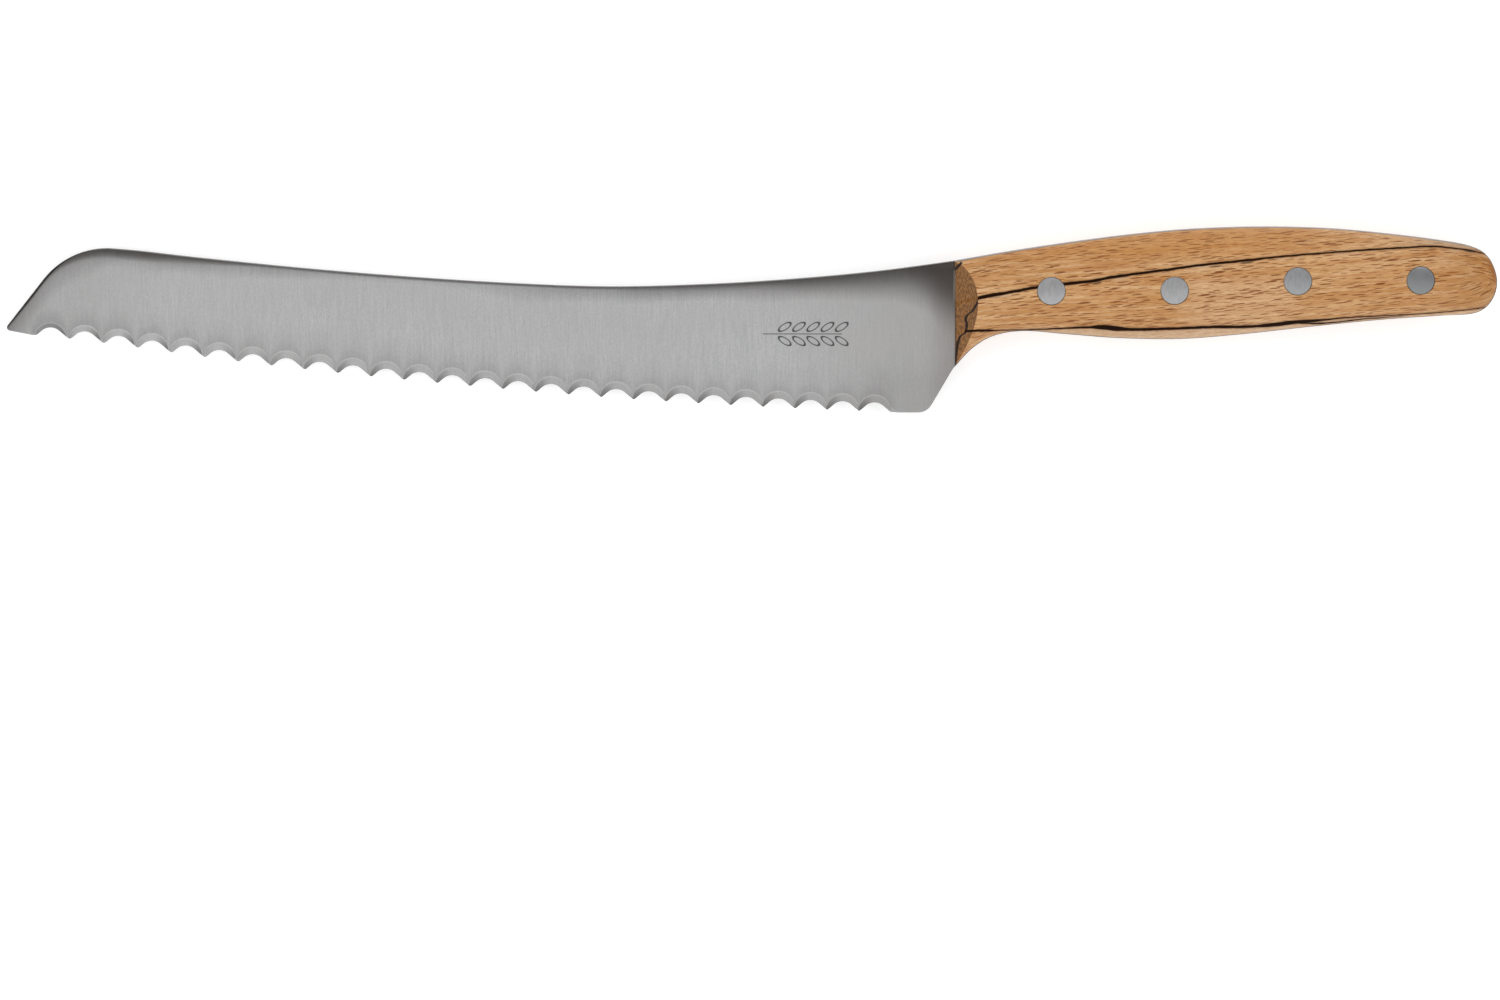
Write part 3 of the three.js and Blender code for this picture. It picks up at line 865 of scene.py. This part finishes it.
def dashes(g, along, across, density, sizes, rare):
    """Short dashes along the grain, from 0 to a random strength.

    The density is cells per mm, along and across; the sizes are shares of a cell; cells whose chance is
    under rare stay empty.
    """
    cells = g.node("TexVoronoi", voronoi_dimensions="2D", feature="F1")
    sway = g.noise(g.place, WANDER_SCALE, 1.0)
    row = g.math("MULTIPLY_ADD", sway, ROW_WANDER, g.math("MULTIPLY", across, density[1]))
    shifted = g.math("MULTIPLY_ADD", row, -ROW_SHIFT, g.math("MULTIPLY", along, density[0]))
    values = {"Vector": g.join(shifted, row, 0.0), "Scale": 1.0, "Randomness": 1.0}
    for key, value in values.items():
        g.put(cells.inputs[key], value)
    chance = g.node("SeparateColor", cells.outputs["Color"]).outputs
    size = g.step(chance[1], 0.0, 1.0, *sizes)
    strength = g.step(chance[0], rare, 0.9)
    inside = g.step(g.math("SUBTRACT", size, cells.outputs["Distance"]), -0.01, 0.07)
    return g.math("MULTIPLY", inside, strength)


WOOD_LIGHT, WOOD_MIDDLE, WOOD_DARK = linear(216, 178, 133), linear(202, 158, 108), linear(185, 134, 79)
WOOD_BROWN, WOOD_GOLDEN, WOOD_PINK = linear(181, 121, 66), linear(190, 130, 62), linear(218, 184, 146)
# the second is painted shade on the rounded end of the butt
WOOD_AT_BUTT, WOOD_RIM_SHADE = linear(158, 108, 50), linear(134, 78, 26)
WOOD_PALE, WOOD_GREY, WOOD_FINE = linear(204, 176, 144), linear(172, 152, 126), linear(164, 106, 58)
FLECK_SMALL, FLECK_DARK = linear(146, 88, 42), linear(122, 66, 22)
LAYER_EDGE, LAYER_HALO = linear(120, 80, 48), linear(196, 167, 138)
LAYER_SMUDGE, LAYER_BLACK = linear(62, 44, 32), linear(30, 15, 6)
END_LIGHT, END_DARK, END_OUTER = linear(147, 103, 60), linear(104, 69, 37), linear(100, 70, 40)
# the second is painted shade in the seam where the wood meets the steel
CRACK_BLACK, SEAM_SHADE = linear(28, 14, 7), linear(40, 24, 14)
WOOD_GLOSS, DULLING = 0.25, 0.2  # how much the wood mirrors, and how much less its dull parts do


def wood_ground(g, x, level, upper, pale, grain, fine):
    """The wood's own colours, paler in places, and greyer over the upper layer at the butt."""
    bands = grain(0.014, 0.2, 0.1, detail=2.0)
    streaks = grain(0.06, 1.3, 0.5, detail=3.0, roughness=0.6)
    brown = grain(0.045, 0.9, -0.4, detail=2.0)
    colour = g.tinted(
        g.mix(g.step(bands, 0.38, 0.62), WOOD_MIDDLE, WOOD_DARK),
        (g.step(streaks, 0.42, 0.66, 0, 0.7), WOOD_LIGHT),
        (g.step(brown, 0.5, 0.68, 0, 0.5), WOOD_BROWN),
        (g.product(g.step(level, 4.2, 8), g.step(x, 96, 60, 0, 0.5)), WOOD_GOLDEN),
        (g.product(g.step(x, 48, 58), g.step(x, 84, 72), g.step(level, 4, 0, 0, 0.35)), WOOD_PINK),
        (g.step(x, 104, 124, 0, 0.35), WOOD_AT_BUTT),
        (pale, WOOD_PALE),
        (g.product(g.step(x, 98, 114, 0, 0.6), g.step(upper, 0, 0.6)), WOOD_GREY),
        (g.step(fine, 0.42, 0.7, 0, 0.55), WOOD_FINE),
    )
    return colour, streaks


def wood_front(g, x, y, z, side, level, lower, ragged):
    """The slanted front: where it is, and its end grain with a crooked layer that the lower one runs into and
    painted shade at the seam.
    """
    height = g.math("MULTIPLY_ADD", z, side, -STEEL / 2)
    behind = g.math("SUBTRACT", x, g.math("MULTIPLY", height, FRONT_SLANT))
    pores = g.noise(g.join(g.math("MULTIPLY", y, 1.2), g.math("MULTIPLY", z, 3.0), 0.0), 1.0, 3.0)
    from_crack = g.math("SUBTRACT", x, g.curve(level, FRONT_CRACK, *CRACK_RANGE))
    crack = g.math("ABSOLUTE", g.math("ADD", ragged, from_crack))
    joined = g.math("MAXIMUM", g.math("ABSOLUTE", lower), g.math("MULTIPLY", from_crack, -1.0))
    end_grain = g.tinted(
        g.mix(g.step(pores, 0.35, 0.65), END_LIGHT, END_DARK),
        (g.step(height, 2.5, 7, 0, 0.45), END_OUTER),
        (g.step(g.math("MINIMUM", crack, joined), 0.18, 0.4, 1, 0), CRACK_BLACK),
        # painted shade in the seam by the steel
        (g.product(g.step(height, 0.1, 0.5, 0.6, 0), g.step(y, 2, -8)), SEAM_SHADE),
    )
    return g.step(behind, 0.03, 0.08, 1, 0), end_grain


def short_crack(g, x, level):
    """How far a point is from the short crack at the top of the front."""
    (mx, my), (nx, ny) = SHORT_CRACK["middle"], SHORT_CRACK["normal"]
    dx, dy = g.math("SUBTRACT", x, mx), g.math("SUBTRACT", level, my)
    off = g.math("ABSOLUTE", g.math("MULTIPLY_ADD", dy, ny, g.math("MULTIPLY", dx, nx)))
    ends = g.math("ABSOLUTE", g.math("MULTIPLY_ADD", dy, nx, g.math("MULTIPLY", dx, -ny)))
    return g.math("MAXIMUM", off, g.math("SUBTRACT", ends, SHORT_CRACK["half"]))


def wood_material(name, side):
    """Spalted beech, oiled: grain along the handle, short flecks, dark layers that run through it, and
    painted shade at the butt's end and the front's seam.
    """
    g = Graph(name, Specular_IOR_Level=WOOD_GLOSS)
    x, y, z = g.split()
    cos, sin = math.cos(GRAIN_TILT), math.sin(GRAIN_TILT)
    along = g.math("MULTIPLY_ADD", y, sin, g.math("MULTIPLY", x, cos))
    across = g.math("MULTIPLY_ADD", x, -sin, g.math("MULTIPLY", y, cos))
    level = g.math("MULTIPLY_ADD", z, -LAYER_LEAN, y)

    def grain(a, b, c, **how):
        place = g.join(g.math("MULTIPLY", along, a), g.math("MULTIPLY", across, b), g.math("MULTIPLY", z, c))
        return g.noise(place, **how)

    # Paler wood outside the lower dark layer, faint at the front and full further back.
    lower = g.math("SUBTRACT", level, g.curve(x, LOWER_LAYER, *LAYER_RANGE))
    upper = g.math("SUBTRACT", level, g.curve(x, UPPER_LAYER, *LAYER_RANGE))
    pale = g.product(g.step(lower, -0.6, 0.1, 0.75, 0), g.step(x, 6, 26, 0.1, 1))
    fine = grain(0.5, 5.5, 3.0, detail=3.0, roughness=0.7)
    colour, streaks = wood_ground(g, x, level, upper, pale, grain, fine)

    # Rays, cut along the grain: short dark flecks of uneven strength, over finer ones. They are spread by the
    # way round the section, so the handle's steep sides carry them too.
    beside = g.math("SUBTRACT", g.curve(x, HALF_THICKNESS, *THICKNESS_RANGE), g.math("ABSOLUTE", z))
    half = g.math("SIGN", g.math("SUBTRACT", y, g.curve(x, HANDLE_MIDDLE, *LAYER_RANGE)))
    around = g.math("MULTIPLY_ADD", g.math("MULTIPLY", half, 0.6), beside, across)
    small = dashes(g, along, around, (0.45, 4.4), (0.2, 0.42), 0.1)
    fleck = dashes(g, along, around, (0.27, 2.5), (0.24, 0.45), 0.25)

    # Dark layers, with a pale halo and smudges under the upper one.
    ragged = g.noise(g.join(g.math("MULTIPLY", x, 0.5), y, z), 1.0, 3.0)
    ragged = g.math("MULTIPLY_ADD", ragged, 0.3, -0.15)
    layers = ((UPPER_LAYER, UPPER_WIDTH), (LOWER_LAYER, LOWER_WIDTH), (BRANCH_LAYER, BRANCH_WIDTH))
    apart = [dark_layer(g, level, x, heights, widths, ragged) for heights, widths in layers]
    nearest = g.math("MINIMUM", g.math("MINIMUM", apart[0], apart[1]), apart[2])
    line = g.step(nearest, -0.1, 0.1, 1, 0)
    halo = g.product(g.step(upper, -1.1, -0.7), g.step(upper, -0.2, -0.6))
    here_and_there = g.step(g.noise(g.join(g.math("MULTIPLY", x, 0.15), 0.0, 0.0)), 0.45, 0.6, 0, 0.4)
    smudges = []
    for middle, length, drop, height in SMUDGES:
        off = g.math("DIVIDE", g.math("SUBTRACT", x, middle), length)
        far = g.math("DIVIDE", g.math("ADD", upper, drop), height)
        smudges.append((g.step(g.length(off, far), 0.5, 1.1, 0.8, 0), LAYER_SMUDGE))

    # Painted shade on the butt's rounded end, along its upper half.
    to_rim = g.math("MULTIPLY_ADD", y, 0.4, x)
    rim_shade = g.step(g.math("MULTIPLY_ADD", fine, 1.2, to_rim), 125.0, 126.4, 0, 0.65)
    front, end_grain = wood_front(g, x, y, z, side, level, lower, ragged)
    colour = g.tinted(
        colour,
        (g.product(small, 0.45), FLECK_SMALL),
        (g.product(fleck, g.math("MULTIPLY_ADD", pale, -0.8, 1.0)), FLECK_DARK),
        (g.step(nearest, 0, 0.4, 0.45, 0), LAYER_EDGE),
        (g.product(halo, here_and_there), LAYER_HALO),
        *smudges,
        (line, LAYER_BLACK),
        # painted shade on the butt's end
        (g.product(g.step(y, 0, 1.5), g.step(y, 7, 5), rim_shade), WOOD_RIM_SHADE),
        (front, end_grain),
        (g.step(short_crack(g, x, level), 0.2, 0.42, 1, 0), CRACK_BLACK),
    )

    dull = g.math("MAXIMUM", line, g.step(to_rim, 120, 125))
    g.put(g.shader.inputs["Specular IOR Level"], g.math("MULTIPLY_ADD", dull, -DULLING, WOOD_GLOSS))
    relief = g.math("MULTIPLY_ADD", fleck, -0.6, fine)
    rough = g.math("MAXIMUM", g.step(streaks, 0.3, 0.7, 0.5, 0.62), g.math("MULTIPLY", line, 0.95))
    return g.finish(colour, rough, relief, distance=0.02)


# ---- the pieces ----

build_blade()
scales = {
    1: ("scale_on_ground_side", "scale_ground_side"),
    -1: ("scale_on_back_side", "scale_back_side"),
}
for side, (name, node) in scales.items():
    build_scale(side, name, node, wood_material(name + "_wood", side))

under = SEAT + FIT
TUBE_PROFILE = [(HEAD, under), (TUBE, under), (TUBE, -SEAT), (BORE, -SEAT), (BORE, under - HEAD_WALL)]
SHANK_PROFILE = [(HEAD, under), (SHANK, under), (SHANK, HEAD_WALL + FIT - SEAT)]
metal = rivet_material()
for number, centre in enumerate(RIVET_CENTRES, 1):
    for side, half, profile in ((1, "tube", TUBE_PROFILE), (-1, "shank", SHANK_PROFILE)):
        node = f"rivet_{number}_{half}_half"
        build_rivet_half(centre, side, f"rivet_{number}_{half}", node, profile, metal)


# ---- stage ----


FLOOR_SIZE = 6  # m from its middle to a side
FLOOR_DARK, FLOOR_LIGHT = (0.67, 0.67, 0.67, 1), (0.7, 0.7, 0.7, 1)
FLOOR_GLOW = 0.5


def build_floor():
    """A pale floor that gives off a little light of its own, so shadows stay faint."""
    low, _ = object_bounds()
    bm = bmesh.new()
    bmesh.ops.create_grid(bm, x_segments=1, y_segments=1, size=FLOOR_SIZE)
    mesh = bpy.data.meshes.new("floor")
    bm.to_mesh(mesh)
    bm.free()
    floor = bpy.data.objects.new("floor", mesh)
    floor.location.z = min(low.z, 0)
    bpy.context.scene.collection.objects.link(floor)
    g = Graph(
        "pale_floor", Roughness=0.9, Specular_IOR_Level=0.1,
        Emission_Color=(1, 1, 1, 1), Emission_Strength=FLOOR_GLOW,
    )
    mesh.materials.append(g.finish(g.mix(g.noise(g.place, 0.02), FLOOR_DARK, FLOOR_LIGHT)))


def soft_light(name, direction, distance, size, brightness, shift=0):
    """A softbox in a direction from the frame's origin, of a width and a height, facing the origin.

    The shift then moves it along X.
    """
    data = bpy.data.lights.new(name, "AREA")
    data.shape, data.size, data.size_y = "RECTANGLE", *size
    data.energy = brightness * math.pi * size[0] * size[1]
    light = bpy.data.objects.new(name, data)
    away = Vector(direction).normalized()
    light.location = away * distance + Vector((shift, 0, 0))
    light.rotation_mode = "QUATERNION"
    light.rotation_quaternion = away.to_track_quat("Z", "Y")
    bpy.context.scene.collection.objects.link(light)


ZENITH, HORIZON = 0.12, 0.8  # brightness of the studio straight above and all round
HORIZON_TO, ZENITH_FROM = math.radians(22), math.radians(50)  # elevations between which it fades


def build_world():
    """A pale studio that is dim overhead and bright all round."""
    world = bpy.data.worlds.new("studio")
    bpy.context.scene.world = world
    world.use_nodes = True
    tree = world.node_tree
    place = tree.nodes.new("ShaderNodeTexCoord")
    split = tree.nodes.new("ShaderNodeSeparateXYZ")
    fade = tree.nodes.new("ShaderNodeMapRange")
    fade.interpolation_type = "SMOOTHSTEP"
    heights = math.sin(HORIZON_TO), math.sin(ZENITH_FROM)
    for socket, value in zip(fade.inputs[1:5], (*heights, HORIZON, ZENITH)):
        socket.default_value = value
    background = tree.nodes["Background"]
    background.inputs["Color"].default_value = (0.98, 0.99, 1, 1)
    tree.links.new(place.outputs["Generated"], split.inputs[0])
    tree.links.new(split.outputs["Z"], fade.inputs[0])
    tree.links.new(fade.outputs[0], background.inputs["Strength"])


def build_lights():
    """A large softbox on the edge's side, and smaller ones at both ends and behind the spine."""
    soft_light("top_softbox", (0, -math.tan(math.radians(40)), 1), 2.2, (3.4, 2.32), 1.05, -0.4)
    soft_light("left_softbox", (-1, 0.1, 1), 2.4, (1.4, 1.4), 2.1)
    soft_light("right_softbox", (1, 0.1, 1), 2.4, (1.4, 1.4), 2.1)
    soft_light("rear_softbox", (0, 1, 1.15), 2.4, (1.6, 1.4), 2.4)


LENS, SENSOR = 200, 36
SEEN_WIDTH = 348.6  # mm of the knife's length across the picture
AIM = Vector((-47.5, -50.2, 0))  # the middle of the picture, in the knife's axes
CAMERA_LEAN = math.radians(7.5)  # towards the spine


def build_camera():
    """Square on to the blade, leaning a little to the spine, with a long lens."""
    back = Vector((0, math.sin(CAMERA_LEAN), math.cos(CAMERA_LEAN)))
    up = Vector((0, math.cos(CAMERA_LEAN), -math.sin(CAMERA_LEAN)))
    data = bpy.data.cameras.new("camera")
    data.lens, data.sensor_width = LENS, SENSOR
    data.clip_end = 100
    camera = bpy.data.objects.new("camera", data)
    place = KNIFE @ (AIM + back * SEEN_WIDTH * LENS / SENSOR)
    turn = KNIFE.to_3x3().normalized()
    axes = Matrix((turn @ Vector((1, 0, 0)), turn @ up, turn @ back)).transposed()
    camera.matrix_world = Matrix.Translation(place) @ axes.to_4x4()
    bpy.context.scene.collection.objects.link(camera)
    bpy.context.scene.camera = camera


build_floor()
build_world()
build_lights()
build_camera()
bpy.context.scene.view_settings.view_transform = "Standard"
